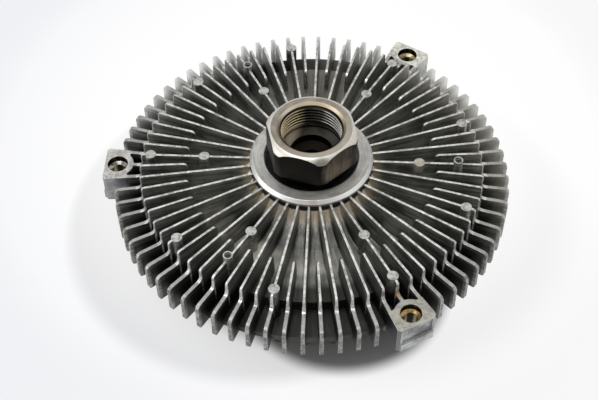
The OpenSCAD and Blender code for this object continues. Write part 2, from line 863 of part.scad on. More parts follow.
module plate_screws() {
  color([0.5, 0.5, 0.5])
    for (i = [0 : screw_count - 1])
      rotate(45 + i * 360 / screw_count)
        translate([screw_circle_r, 0, 0])
          difference() {
            union() {
              translate([0, 0, plate_top - screw_l])
                cylinder(d = screw_d, h = screw_l + 0.3);
              translate([0, 0, plate_top + 0.02])
                cylinder(d = screw_d + 1.8, h = screw_head_h);
            }
            translate([-0.3, -5, plate_top + 0.5])
              cube([0.6, 10, 2]);
          }
}

module valve_lever() {
  color([0.55, 0.53, 0.48])
    difference() {
      union() {
        translate([-lever_arm, -lever_w / 2, lever_bottom])
          cube([lever_arm + port_r, lever_w, lever_t]);
        translate([port_r, 0, lever_bottom])
          cylinder(d = port_d + 4, h = lever_t);
        translate([-lever_arm, 0, pivot_z])
          rotate([90, 0, 0])
            cylinder(r = eye_r, h = lever_w, center = true);
      }
      translate([-lever_arm, 0, pivot_z])
        rotate([90, 0, 0])
          cylinder(r = pivot_d / 2 + 0.04, h = lever_w + 2, center = true);
    }
}

module valve_pivot_pin() {
  color([0.6, 0.6, 0.6])
    translate([-lever_arm, 0, pivot_z])
      rotate([90, 0, 0])
        cylinder(d = pivot_d, h = 2 * (lug_in + lug_t) + 0.6, center = true);
}

module control_pin() {
  color([0.68, 0.68, 0.7])
    rotate_extrude()
      polygon([
        [0, pin_tip],
        [0.35, pin_tip],
        [pin_d / 2 - 0.3, pin_tip - 0.6],
        [pin_d / 2 - 0.3, collar_top],
        [pin_d / 2 + 1.2, collar_top],
        [pin_d / 2 + 1.2, collar_bottom],
        [pin_d / 2, collar_bottom],
        [pin_d / 2, pin_end + 0.8],
        [pin_d / 2 - 0.8, pin_end],
        [0, pin_end]
      ]);
}

module pin_seal() {
  color([0.08, 0.08, 0.08])
    rotate_extrude()
      translate([seal_in_r + seal_d / 2, seal_z])
        circle(d = seal_d);
}

module bimetal_strip() {
  color([0.74, 0.66, 0.5])
    translate([-strip_l / 2, -strip_w / 2, strip_bottom])
      cube([strip_l, strip_w, strip_t]);
}

module strip_holders() {
  color([0.58, 0.57, 0.54])
    for (side = [0, 1])
      mirror([side, 0, 0])
        difference() {
          translate([0, holder_w / 2, 0])
            rotate([90, 0, 0])
              linear_extrude(height = holder_w)
                polygon([
                  [leg_x - 3, hook_top],
                  [leg_x, hook_top],
                  [leg_x, cover_face - fit],
                  [leg_x + foot_l, cover_face - fit],
                  [leg_x + foot_l, cover_face - fit - holder_t],
                  [leg_x + holder_t, cover_face - fit - holder_t],
                  [leg_x + holder_t, hook_top - holder_t],
                  [leg_x - 3, hook_top - holder_t]
                ]);
          translate([rivet_x, 0, cover_face - 5])
            cylinder(d = rivet_d + 2 * fit, h = 10);
        }
}

module holder_rivets() {
  head_z = cover_face - fit - holder_t - 0.02;
  color([0.7, 0.7, 0.7])
    for (side = [-1, 1])
      translate([side * rivet_x, 0, 0])
        rotate_extrude()
          polygon([
            [0, cover_face + rivet_hole_l],
            [rivet_d / 2, cover_face + rivet_hole_l],
            [rivet_d / 2, head_z],
            [rivet_d / 2 + 0.9, head_z],
            [rivet_d / 2 + 0.7, head_z - 0.6],
            [rivet_d / 2 - 0.3, head_z - 1],
            [0, head_z - 1.1]
          ]);
}

rear_housing();
input_shaft();
bearing_outer_ring();
bearing_inner_ring();
bearing_balls();
bearing_cage();
bearing_shields();
bearing_circlip();
rotor_disc();
front_cover();
cover_seal();
divider_plate();
plate_screws();
valve_lever();
valve_pivot_pin();
control_pin();
pin_seal();
bimetal_strip();
strip_holders();
holder_rivets();
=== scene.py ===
import math

import bmesh
import bpy
from mathutils import Matrix, Vector


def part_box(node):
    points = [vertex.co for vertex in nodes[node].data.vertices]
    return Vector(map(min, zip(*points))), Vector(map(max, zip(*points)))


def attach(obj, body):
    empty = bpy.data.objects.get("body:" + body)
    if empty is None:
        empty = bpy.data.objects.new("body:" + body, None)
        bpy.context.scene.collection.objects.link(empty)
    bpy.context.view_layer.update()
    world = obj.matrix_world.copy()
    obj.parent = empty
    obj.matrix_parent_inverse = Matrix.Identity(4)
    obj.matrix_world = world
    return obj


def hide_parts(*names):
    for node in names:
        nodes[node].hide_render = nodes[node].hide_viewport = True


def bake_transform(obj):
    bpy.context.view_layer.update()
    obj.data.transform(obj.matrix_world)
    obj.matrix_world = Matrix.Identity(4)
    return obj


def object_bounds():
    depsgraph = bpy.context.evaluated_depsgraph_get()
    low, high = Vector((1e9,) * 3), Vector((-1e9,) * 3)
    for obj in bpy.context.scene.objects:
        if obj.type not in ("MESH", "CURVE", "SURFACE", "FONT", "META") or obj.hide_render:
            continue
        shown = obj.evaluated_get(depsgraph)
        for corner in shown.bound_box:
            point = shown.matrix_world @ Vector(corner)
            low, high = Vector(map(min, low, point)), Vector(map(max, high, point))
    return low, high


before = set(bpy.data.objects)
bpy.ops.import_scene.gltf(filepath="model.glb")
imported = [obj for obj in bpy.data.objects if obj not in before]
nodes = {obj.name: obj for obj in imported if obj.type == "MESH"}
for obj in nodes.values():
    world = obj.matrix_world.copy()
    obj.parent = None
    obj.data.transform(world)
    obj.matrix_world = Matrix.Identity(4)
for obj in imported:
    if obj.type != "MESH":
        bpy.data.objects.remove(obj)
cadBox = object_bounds()
scene = bpy.context.scene
mm = 0.001
print("frame loaded,", len(nodes), "CAD nodes")


# A socket that takes part in Python sums, each of which adds a Math node
class Wire:
    def __init__(self, finish, socket):
        self.finish = finish
        self.socket = socket

    def calc(self, operation, first, second=None):
        sockets = {0: first} if second is None else {0: first, 1: second}
        return self.finish.add("Math", {"operation": operation}, sockets)

    def __add__(self, other):
        return self.calc("ADD", self, other)

    __radd__ = __add__

    def __sub__(self, other):
        return self.calc("SUBTRACT", self, other)

    def __rsub__(self, other):
        return self.calc("SUBTRACT", other, self)

    def __mul__(self, other):
        return self.calc("MULTIPLY", self, other)

    __rmul__ = __mul__

    def root(self):
        return self.calc("SQRT", self)

    def most(self, other):
        return self.calc("MAXIMUM", self, other)


edgeWear = {"samples": 4, "leaves": (0.02, 0.2)}


# One material and the nodes in it
class Finish:
    def __init__(self, name, holder=None):
        self.material = holder or bpy.data.materials.new(name)
        self.material.use_nodes = True
        self.tree = self.material.node_tree
        self.tree.nodes.clear()

    def add(self, kind, settings=None, sockets=None, out=0):
        node = self.tree.nodes.new("ShaderNode" + kind)
        for key, value in (settings or {}).items():
            setattr(node, key, value)
        for key, value in (sockets or {}).items():
            if isinstance(value, Wire):
                self.tree.links.new(value.socket, node.inputs[key])
            else:
                node.inputs[key].default_value = value
        return Wire(self, node.outputs[out]) if node.outputs else None

    # 0 below low, 1 above high, smooth between
    def rise(self, value, low, high):
        settings = {"interpolation_type": "SMOOTHSTEP"}
        return self.add("MapRange", settings, {"Value": value, "From Min": low, "From Max": high})

    # 1 between low and high, with edges of the given softness
    def band(self, value, low, high, soft):
        above = self.rise(value, low - soft, low + soft)
        return above * (1 - self.rise(value, high - soft, high + soft))

    def blend(self, factor, first, second):
        first = first if isinstance(first, Wire) else (*first, 1)
        second = second if isinstance(second, Wire) else (*second, 1)
        return self.add("Mix", {"data_type": "RGBA"}, {0: factor, 6: first, 7: second}, 2)

    def noise(self, vector, scale, detail=3, rough=0.5):
        sockets = {"Vector": vector, "Scale": scale, "Detail": detail, "Roughness": rough}
        return self.add("TexNoise", {}, sockets)

    def stretch(self, vector, scale):
        return self.add("VectorMath", {"operation": "MULTIPLY"}, {0: vector, 1: scale})

    # How far a vector reaches along a direction
    def reach(self, vector, direction):
        return self.add("VectorMath", {"operation": "DOT_PRODUCT"}, {0: vector, 1: direction}, "Value")

    # Place in the part's own frame, its height, its distance from the axis and its angle
    def place(self):
        self.spot = self.add("TexCoord", {}, {}, "Object")
        parts = self.add("SeparateXYZ", {}, {0: self.spot})
        x, y, z = (Wire(self, s) for s in parts.socket.node.outputs)
        self.height = z
        self.radius = (x * x + y * y).root()
        self.turn = self.add("Math", {"operation": "ARCTAN2"}, {0: y, 1: x})
        self.normal = self.add("NewGeometry", {}, {}, "Normal")
        self.facing = self.add("SeparateXYZ", {}, {0: self.normal}, 2)
        return self

    # Place as radius, angle and height, each with its own scale
    def around(self, scale):
        parts = {0: self.radius * scale[0], 1: self.turn * scale[1], 2: self.height * scale[2]}
        return self.add("CombineXYZ", {}, parts)

    # How far the place lies along a direction
    def dot(self, direction):
        return self.reach(self.spot, direction)

    # How squarely the surface faces a direction
    def toward(self, direction):
        return self.reach(self.normal, direction)

    # Distance from a point, along the axes that share is 1 on
    def away(self, point, share=(1, 1, 1)):
        gap = self.add("VectorMath", {"operation": "SUBTRACT"}, {0: self.spot, 1: point})
        gap = self.stretch(gap, share)
        return self.add("VectorMath", {"operation": "LENGTH"}, {0: gap}, "Value")

    # Normal that runs around sharp edges
    def rounded(self, size):
        return self.add("Bevel", {"samples": edgeWear["samples"]}, {"Radius": size})

    # 1 close to a sharp edge, where the rounded normal leaves the flat one
    def edgeMask(self, size):
        return self.rise(1 - self.toward(self.rounded(size)), *edgeWear["leaves"])

    def finishWith(self, sockets, bump=None, depth=0, edge=0):
        normal = self.rounded(edge) if edge else None
        if bump is not None:
            ends = {"Strength": 1, "Distance": depth, "Height": bump}
            if normal is not None:
                ends["Normal"] = normal
            normal = self.add("Bump", {}, ends)
        if normal is not None:
            sockets["Normal"] = normal
        self.show(self.add("BsdfPrincipled", {}, sockets))
        return self.material

    def show(self, shader, kind="OutputMaterial"):
        self.add(kind, {}, {"Surface": shader})


frontWay = (0, -1, 0)
backWay = (0, 1, 0)
leftWay = (-1, 0, 0)
rightWay = (1, 0, 0)
flatShare = (1, 1, 0)  # distances in the plane of the fins
sideShare = (1, 0, 0)  # distances to the left or right only

# Die-cast aluminium of the housing and cover: rubbed tops, streaked sides, soot and painted shade low
# between the fins
# A pair says where a zone starts and where it is full, from the axis, in height or along a way
castLook = {
    "skin": (0.55, 0.55, 0.525),
    # Dark tone of the skin, for its patches and for the painted shade low down
    "patchyTone": (0.17, 0.17, 0.158),
    # Soot, also the colour of painted shade low between the fins, on the hub's slope and on the ring's
    # wall
    "sootAndShade": (0.035, 0.034, 0.031),
    # Painted warm highlight at the foot of the ring
    "warm": (0.66, 0.58, 0.46),
    "rubbed": (0.64, 0.64, 0.605),
    "pitted": (0.27, 0.27, 0.255),
    "dullTop": (0.36, 0.36, 0.34),
    # Painted highlight on the ring's chamfer, and wear with painted highlight on edges
    "bright": (0.88, 0.88, 0.86),
    "pad": (0.46, 0.46, 0.44),
    "padDark": (0.24, 0.24, 0.23),
    "turned": (0.47, 0.465, 0.44),
    "turnedDark": (0.30, 0.295, 0.275),
    # Pale beige: painted light toward the back right, and a paler band on the floor toward the front left
    "paleBeige": (0.66, 0.64, 0.55),
    "backLit": (0.92, 0.92, 0.89),
    "backFloor": (0.20, 0.183, 0.152),
    # Near-black painted shade on the outer floor at the back
    "backRim": (0.010, 0.010, 0.009),
    "mottle": {"scale": 130, "detail": 5, "rough": 0.65},
    "cloud": {"scale": 38, "detail": 3, "rough": 0.5},
    "grain": {"scale": 1300, "detail": 3, "rough": 0.6},
    "speck": {"scale": 600, "detail": 3, "rough": 0.7},
    "streak": {"scale": 1, "detail": 5, "rough": 0.65},
    "streakStretch": (60, 55, 800),
    "lathe": {"scale": 1, "detail": 3, "rough": 0.6},
    "latheStretch": (2600, 2.2, 900),
    "edge": 0.35 * mm,
    "bumpDepth": 0.04 * mm,
    "soft": 0.1 * mm,
    "wideSoft": 0.3 * mm,
    "upFacing": (0.75, 0.95),
    "wallFacing": (0.2, 0.5),
    "chamferFacing": (0.35, 0.8),
    "chamferSoft": 0.06,
    "markRange": (0.36, 0.66),
    "litRange": (0.35, 0.65),
    "warmRange": (0.5, 0.8),
    "sweptRange": (0.3, 0.6),
    "rubRange": (0.4, 0.58),
    "padRange": (0.36, 0.56),
    "turnedRange": (0.4, 0.6),
    "burrHighlightRange": (0.38, 0.56),
    "ringRadius": (23.75 * mm, 23.95 * mm),
    "ringFoot": (6.8 * mm, 7.1 * mm),
    "ringWall": (23.7 * mm, 24.1 * mm),
    "hubGlow": (25.5 * mm, 28.5 * mm),
    "glowHeight": (3.5 * mm, 6 * mm),
    "hubShade": (28.5 * mm, 37 * mm),
    "hubSoft": 1.8 * mm,
    "frontReach": (5 * mm, 25 * mm),
    "shadeHeight": (-10.5 * mm, 5 * mm),
    "lowHeight": (-3.0 * mm, 2.5 * mm),
    "sweptFloor": (37.5 * mm, 46 * mm),
    "sweptSoft": 2 * mm,
    "sweptHeight": (-3.6 * mm, -2.4 * mm),
    "sweptWay": (-0.45, -0.89, 0),
    "sweptReach": (22 * mm, 36 * mm),
    "sootShadeStart": (50.3 * mm, 54.3 * mm),
    "sootShadeEnd": (74.5 * mm, 75.5 * mm),
    "sootShadeHeight": (-4.5 * mm, 1 * mm),
    "backReach": (30 * mm, 42 * mm),
    "middleWidth": (9 * mm, 20 * mm),
    "floorTop": (-3.9 * mm, -3.2 * mm),
    "rimStart": (61.0 * mm, 62.0 * mm),
    "rimWander": 1.2 * mm,
    "highTop": (5.8 * mm, 6.08 * mm),
    "padTop": (6.18 * mm, 6.24 * mm),
    "lowTop": (-0.3 * mm, 0.3 * mm),
    "outerStart": (65.8 * mm, 67.0 * mm),
    "backRightLightWay": (0.8, 0.6, 0),
    "backRightLightReach": (25 * mm, 80 * mm),
    "tipRadius": (68.9 * mm, 75.9 * mm),
    "tipHeight": (-9 * mm, -3 * mm),
    "tipReach": (15 * mm, 60 * mm),
    "stepBand": (65.2 * mm, 67.8 * mm),
    "shortBand": (47.1 * mm, 49.3 * mm),
    "shortHeight": (2.5 * mm, 5 * mm),
    "shinyHeight": (-3 * mm, -0.5 * mm),
    "finEnd": (75.9 * mm, 76.2 * mm),
    "earEdge": (76.5 * mm, 77.5 * mm),
    "topEdge": (3.5 * mm, 5.5 * mm),
    "burrHighlightBand": (65.35 * mm, 66.05 * mm),
    "burrHighlightHeight": (-9 * mm, -2 * mm),
    "stainWander": 2 * mm,
    "stainCore": 0.3,
}
fanEars = {
    "circle": 75.45 * mm,
    "reach": (8.6 * mm, 9.6 * mm),
    "start": (70.5 * mm, 71.5 * mm),
    "hole": (4.1 * mm, 4.3 * mm),
    "holeTop": (-0.5 * mm, -0.1 * mm),
    "core": (2.5 * mm, 2.7 * mm),
    "coreSides": (0.7 * mm, 1.9 * mm),
    "panel": (79.8 * mm, 80.25 * mm),
    "sideRange": (0.34, 0.62),
    "shadeFacing": (0.5, 0.8),
    "dirtRange": (0.62, 0.38),
    "scuffRange": (0.36, 0.60),
    "filmRange": (0.38, 0.58),
    "coneFacing": (0.2, 0.4),
    "grime": (0.13, 0.125, 0.11),
    "panelGrime": (0.20, 0.205, 0.21),
    "shadeSide": (0.05, 0.055, 0.065),
    # Painted shade on the holes' walls, and near-black painted shade deep in their cores
    "wall": (0.055, 0.045, 0.03),
    "deep": (0.014, 0.012, 0.010),
    "glint": (0.85, 0.76, 0.58),
    # The ears are alike: their top, side and cone tones differ as painted light and shade
    "ears": (
        {
            "angle": 60, "shade": 0.0,
            "top": (0.72, 0.71, 0.64), "side": (0.60, 0.61, 0.58), "cone": (0.32, 0.27, 0.15),
        },
        {
            "angle": 180, "shade": 0.0,
            "top": (0.52, 0.515, 0.48), "side": (0.36, 0.37, 0.39), "cone": (0.36, 0.35, 0.31),
        },
        {
            "angle": -60, "shade": 0.9,
            "top": (0.38, 0.37, 0.32), "side": (0.50, 0.51, 0.51), "cone": (0.42, 0.28, 0.10),
        },
    ),
}
hollowPads = {
    "circle": 56 * mm,
    "angles": (0, 120, 240),
    "bore": (1.2 * mm, 1.3 * mm),
    # Painted shade inside the bores
    "dark": (0.05, 0.05, 0.045),
}
stainMarks = (
    {
        "spot": (33.4 * mm, -57.6 * mm, 0.8 * mm),
        "size": 1.9 * mm, "depth": 0.85, "tint": (0.34, 0.19, 0.05),
    },
    {
        "spot": (1.6 * mm, -23.2 * mm, 7.9 * mm),
        "size": 2.4 * mm, "depth": 0.35, "tint": (0.35, 0.15, 0.10),
    },
    {
        "spot": (41.3 * mm, -0.6 * mm, 4.6 * mm),
        "size": 3.6 * mm, "depth": 0.6, "tint": (0.46, 0.40, 0.27),
    },
)


def onCircle(circle, angle):
    turn = math.radians(angle)
    return (circle * math.cos(turn), circle * math.sin(turn), 0)


# Streaked casting skin: painted shade low between the fins, on the hub's slope and on the ring's wall,
# soot with painted shade toward the rim, and a painted warm highlight at the foot of the ring
def castSkin(f, mottle, cloud, streak, up):
    look = castLook
    # Skin lighter higher up and near the hub: painted shade low down and a painted highlight at the hub,
    # mixed with streaks and mottling
    high = f.rise(f.height, *look["shadeHeight"])
    near = 1 - f.rise(f.radius, *look["hubGlow"])
    marks = f.rise(streak, *look["markRange"]) - 0.5
    toneAndShade = 0.26 + 0.3 * high + 0.1 * near + 0.6 * marks + 1.1 * (mottle - 0.5)
    colour = f.blend(f.rise(toneAndShade, 0, 1), look["patchyTone"], look["skin"])
    low = 1 - f.rise(f.height, *look["lowHeight"])
    front = f.rise(f.dot(frontWay), *look["frontReach"])
    # Painted shade on the hub's slope, strongest at the front, and on all floors low between the fins
    shade = f.band(f.radius, *look["hubShade"], look["hubSoft"]) * low * (0.3 + 0.45 * front)
    colour = f.blend(shade.most(0.35 * low * up) * (0.7 + 0.6 * cloud), colour, look["sootAndShade"])
    back = f.rise(f.dot(backWay), *look["backReach"])
    middle = back * (1 - f.rise(f.away((0, 0, 0), sideShare), *look["middleWidth"]))
    # Soot with painted shade on the outer fins' lower sides and floor, less in the back middle
    edgeSootAndShade = f.rise(f.radius, *look["sootShadeStart"]) * (1 - f.rise(f.radius, *look["sootShadeEnd"]))
    edgeSootAndShade = edgeSootAndShade * (1 - f.rise(f.height, *look["sootShadeHeight"])) * (0.55 + 0.7 * cloud)
    colour = f.blend(edgeSootAndShade * (1 - 0.85 * middle), colour, look["sootAndShade"])
    onFloor = (1 - f.rise(f.height, *look["floorTop"])) * up
    lit = 0.25 + 0.75 * f.rise(streak, *look["litRange"])
    colour = f.blend(middle * onFloor * lit, colour, look["backFloor"])
    # Near-black painted shade on the outer floor at the back, past the rim
    rim = f.rise(f.radius + look["rimWander"] * (mottle - 0.5), *look["rimStart"])
    colour = f.blend(back * rim * onFloor, colour, look["backRim"])
    # Painted warm highlight where the fins' floor meets the ring
    glow = near * (1 - f.rise(f.height, *look["glowHeight"]))
    glow = glow * f.rise(streak + 0.5 * cloud, *look["warmRange"])
    colour = f.blend(0.9 * glow, colour, look["warm"])
    # Paler beige band on the floor toward the front left
    swept = f.band(f.radius, *look["sweptFloor"], look["sweptSoft"])
    swept = swept * (1 - f.rise(f.height, *look["sweptHeight"])) * up
    swept = swept * f.rise(f.dot(look["sweptWay"]), *look["sweptReach"])
    colour = f.blend(0.85 * swept * f.rise(cloud, *look["sweptRange"]), colour, look["paleBeige"])
    # Painted shade on the ring's outer wall
    wall = (1 - f.rise(f.radius, *look["ringWall"])) * (1 - f.rise(f.facing, *look["wallFacing"]))
    return f.blend(0.9 * wall, colour, look["sootAndShade"])


# The machined ears: dull tops, grimy sides and panels, stepped holes with an oil film, and painted light
# and shade that differ from ear to ear
def earSkin(f, colour, mottle, speck, lowTop, up):
    oilAndSheen = 0
    for ear in fanEars["ears"]:
        centre = onCircle(fanEars["circle"], ear["angle"])
        outX, outY = onCircle(1, ear["angle"])[:2]
        gap = f.away(centre, flatShare)
        body = (1 - f.rise(gap, *fanEars["reach"])) * f.rise(f.radius, *fanEars["start"])
        bare = f.rise(mottle, *fanEars["sideRange"])
        side = f.blend(0.35 + 0.65 * bare, fanEars["grime"], ear["side"])
        # Painted shade on the near ear's left side
        turned = f.rise(f.toward((outY, -outX, 0)), *fanEars["shadeFacing"])
        side = f.blend(ear["shade"] * turned * (0.5 + 0.8 * mottle), side, fanEars["shadeSide"])
        panel = f.band(f.dot((outX, outY, 0)), *fanEars["panel"], castLook["soft"])
        dirty = f.rise(0.6 * mottle + 0.4 * speck, *fanEars["dirtRange"])
        side = f.blend(panel * dirty, side, fanEars["panelGrime"])
        colour = f.blend(body * (1 - up), colour, side)
        scuff = f.rise(0.5 * mottle + 0.5 * speck, *fanEars["scuffRange"])
        top = f.blend(0.35 + 0.65 * scuff, fanEars["grime"], ear["top"])
        colour = f.blend(body * lowTop, colour, top)
        # Holes: painted highlight on the cone where it faces up, painted shade on the walls, mixed by an
        # oil film
        inside = (1 - f.rise(gap, *fanEars["hole"])) * (1 - f.rise(f.height, *fanEars["holeTop"]))
        filmy = f.rise(0.5 * mottle + 0.5 * speck, *fanEars["filmRange"])
        cone = f.blend(filmy, fanEars["wall"], ear["cone"])
        lining = f.blend(f.rise(f.facing, *fanEars["coneFacing"]), fanEars["wall"], cone)
        colour = f.blend(inside, colour, lining)
        # Cores: near-black painted shade in the middle, painted glints at the left and right
        core = 1 - f.rise(gap, *fanEars["core"])
        lit = f.rise(f.away(centre, sideShare), *fanEars["coreSides"])
        colour = f.blend(core * inside, colour, f.blend(lit, fanEars["deep"], fanEars["glint"]))
        oilAndSheen = inside * (1 - 2.5 * core * (1 - lit)) + oilAndSheen
    return colour, oilAndSheen


def castAluminium():
    f = Finish("castAluminium").place()
    look = castLook
    mottle = f.noise(f.spot, **look["mottle"])
    cloud = f.noise(f.spot, **look["cloud"])
    grain = f.noise(f.spot, **look["grain"])
    speck = f.noise(f.spot, **look["speck"])
    streak = f.noise(f.around(look["streakStretch"]), **look["streak"])  # flow marks along the fins
    lathe = f.noise(f.around(look["latheStretch"]), **look["lathe"])
    up = f.rise(f.facing, *look["upFacing"])
    topHigh = f.rise(f.height, *look["highTop"]) * up
    lowTop = f.band(f.height, *look["lowTop"], look["soft"]) * up * f.rise(f.radius, *look["outerStart"])
    padTop = f.rise(f.height, *look["padTop"])
    ring = (1 - f.rise(f.radius, *look["ringRadius"])) * f.rise(f.height, *look["ringFoot"])
    colour = castSkin(f, mottle, cloud, streak, up)
    # Painted light: mottled pale beige toward the back right
    rightBack = f.rise(f.dot(look["backRightLightWay"]), *look["backRightLightReach"])
    colour = f.blend(rightBack * (0.1 + 0.6 * mottle), colour, look["paleBeige"])
    # Painted light on the outer ends of the fins at the back
    tips = f.rise(f.radius, *look["tipRadius"]) * f.rise(f.height, *look["tipHeight"])
    tips = tips * f.rise(f.dot(backWay), *look["tipReach"])
    colour = f.blend(0.85 * tips, colour, look["backLit"])
    rub = f.rise(0.6 * speck + 0.4 * mottle, *look["rubRange"])
    colour = f.blend(0.9 * topHigh, colour, f.blend(rub, look["pitted"], look["rubbed"]))
    colour = f.blend(lowTop * (0.9 - 0.6 * tips), colour, f.blend(rub, look["pitted"], look["dullTop"]))
    padSkin = f.blend(f.rise(speck, *look["padRange"]), look["padDark"], look["pad"])
    colour = f.blend(padTop, colour, padSkin)
    # Painted shade inside the hollow pads' bores
    for angle in hollowPads["angles"]:
        gap = f.away(onCircle(hollowPads["circle"], angle), flatShare)
        bore = (1 - f.rise(gap, *hollowPads["bore"])) * padTop
        colour = f.blend(bore, colour, hollowPads["dark"])
    cut = f.rise(0.5 * lathe + 0.5 * mottle, *look["turnedRange"])
    colour = f.blend(ring, colour, f.blend(cut, look["turnedDark"], look["turned"]))
    # Painted highlight on the ring's chamfer
    chamfer = ring * f.band(f.facing, *look["chamferFacing"], look["chamferSoft"])
    colour = f.blend(chamfer * (0.6 + 0.6 * cloud), colour, look["bright"])
    colour, oilAndSheen = earSkin(f, colour, mottle, speck, lowTop, up)
    # Painted highlight at the fin steps and the short fins' ends
    step = f.band(f.radius, *look["stepBand"], look["wideSoft"])
    shortEnd = f.band(f.radius, *look["shortBand"], look["wideSoft"])
    shortEnd = shortEnd * f.rise(f.height, *look["shortHeight"])
    shiny = step.most(shortEnd) * f.rise(f.height, *look["shinyHeight"]) * (1 - padTop)
    finEnd = f.rise(f.radius, *look["finEnd"])
    earEdge = f.rise(f.radius, *look["earEdge"])
    topEdge = f.rise(f.height, *look["topEdge"])
    # Edges painted bright as wear and as a painted highlight
    edges = shiny.most(0.6 * finEnd).most(0.8 * earEdge).most(0.35 * topEdge).most(0.8 * ring)
    wearAndHighlight = f.edgeMask(look["edge"]) * (0.2 + 1.1 * mottle) * edges
    # Burr along the fin steps, raised in the bump, painted bright and less metallic as a painted highlight
    burrHighlight = f.band(f.radius, *look["burrHighlightBand"], look["soft"]) * (1 - up)
    burrHighlight = burrHighlight * (0.35 + 0.65 * f.rise(speck, *look["burrHighlightRange"]))
    burrHighlight = burrHighlight * f.rise(f.height, *look["burrHighlightHeight"])
    colour = f.blend(wearAndHighlight.most(0.9 * burrHighlight).most(0.5 * shiny * rub), colour, look["bright"])
    matte = 0.7 * burrHighlight
    for mark in stainMarks:
        spread = f.away(mark["spot"]) + look["stainWander"] * (mottle - 0.5)
        blot = (1 - f.rise(spread, look["stainCore"] * mark["size"], mark["size"])) * mark["depth"]
        colour = f.blend(blot, colour, mark["tint"])
        matte = matte.most(0.8 * blot)
    bump = (0.6 * grain + 0.8 * streak) * (1 - 0.8 * ring) + 0.25 * lathe * ring + burrHighlight
    rough = 0.36 + 0.26 * streak + 0.08 * padTop - 0.14 * ring - 0.16 * shiny - 0.26 * oilAndSheen
    sockets = {"Base Color": colour, "Metallic": 1 - matte, "Roughness": rough}
    return f.finishWith(sockets, bump, look["bumpDepth"], look["edge"])


# Turned steel of the input shaft: brown oil film, dark flanks with a painted sheen, bright crown with
# painted shade on its front, painted highlight and shade at the mouth, and a bore painted dark as oil and
# shade, with painted reflections
shaftLook = {
    "face": (0.20, 0.175, 0.14),
    "facePale": (0.33, 0.30, 0.25),
    "faceLit": (0.44, 0.405, 0.34),
    "flank": (0.022, 0.020, 0.017),
    # Painted sheen on the flanks
    "flankPale": (0.37, 0.315, 0.245),
    "crown": (0.66, 0.63, 0.57),
    "mouth": (0.62, 0.58, 0.52),
    "mouthBrass": (0.56, 0.46, 0.31),
    "mouthBrown": (0.26, 0.215, 0.155),
    # Painted shade on the crown's front
    "lobe": (0.24, 0.24, 0.20),
    # Bore painted dark as oil and shade, with painted tan and grey reflections
    "bore": (0.028, 0.025, 0.020),
    "boreTan": (0.36, 0.31, 0.225),
    "boreGrey": (0.065, 0.065, 0.064),
    "oil": (0.012, 0.010, 0.008),
    "film": {"scale": 240, "detail": 4, "rough": 0.6},
    "cloud": {"scale": 70, "detail": 3, "rough": 0.5},
    "fine": {"scale": 1500, "detail": 3, "rough": 0.5},
    "drawn": {"scale": 1, "detail": 3, "rough": 0.6},
    "drawnStretch": (1000, 1000, 130),
    "lathe": {"scale": 1, "detail": 3, "rough": 0.6},
    "latheStretch": (2400, 2.5, 0),
    "edge": 0.25 * mm,
    "bumpDepth": 0.02 * mm,
    "faceFacing": (0.90, 0.99),
    "crownFacing": (0.15, 0.3),
    "sheenRange": (0.25, 0.68),
    "latheRange": (0.36, 0.66),
    "brassRange": (0.35, 0.65),
    "filmRange": (0.4, 0.7),
    "crownStart": (15.15 * mm, 15.35 * mm),
    "crownHeight": (18 * mm, 20 * mm),
    "mouthBand": (12.05 * mm, 13.0 * mm),
    "mouthSoft": 0.08 * mm,
    "mouthHeight": (22.5 * mm, 23 * mm),
    "boreRadius": (11.95 * mm, 12.15 * mm),
    "deepHeight": (7.5 * mm, 10.5 * mm),
    "sheenSpot": (16 * mm, -16 * mm, 18 * mm),
    "sheenReach": (8 * mm, 15 * mm),
    "litWay": (0.75, -0.66, 0),
    "litReach": (-2 * mm, 13 * mm),
    "lobeSpot": (4.4 * mm, -16.9 * mm, 22.5 * mm),
    "lobeReach": (1.5 * mm, 4 * mm),
    "backReach": (1 * mm, 9 * mm),
    "tanWay": (-0.97, 0.24, 0),
    "greyWay": (0.97, 0.24, 0),
    "sideReach": (5.5 * mm, 10 * mm),
    "lipHeight": (21.5 * mm, 23 * mm),
}


